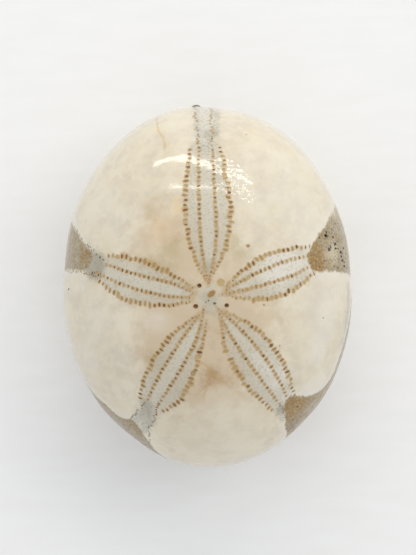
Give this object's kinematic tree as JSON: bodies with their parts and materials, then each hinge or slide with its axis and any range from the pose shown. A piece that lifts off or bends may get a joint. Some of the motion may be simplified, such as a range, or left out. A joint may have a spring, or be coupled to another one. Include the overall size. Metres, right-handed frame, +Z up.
{
  "type": "fossil sand dollar",
  "caption": "Polished oval fossil sand dollar, domed on top with a five-petal star of tiny pores, flat below to rest on.",
  "frame": {"origin": "middle of the outline, on the plane of the flat underside that it rests on", "axes": "+Z up out of the domed top, +Y towards the animal's front, where the longest petal points, +X to the right seen from above"},
  "size_m": [0.0399, 0.05, 0.027],
  "materials": {
    "fossil_calcite": "polished"
  },
  "bodies": {
    "root": {"sand_dollar": "fossil_calcite"}
  },
  "joints": []
}
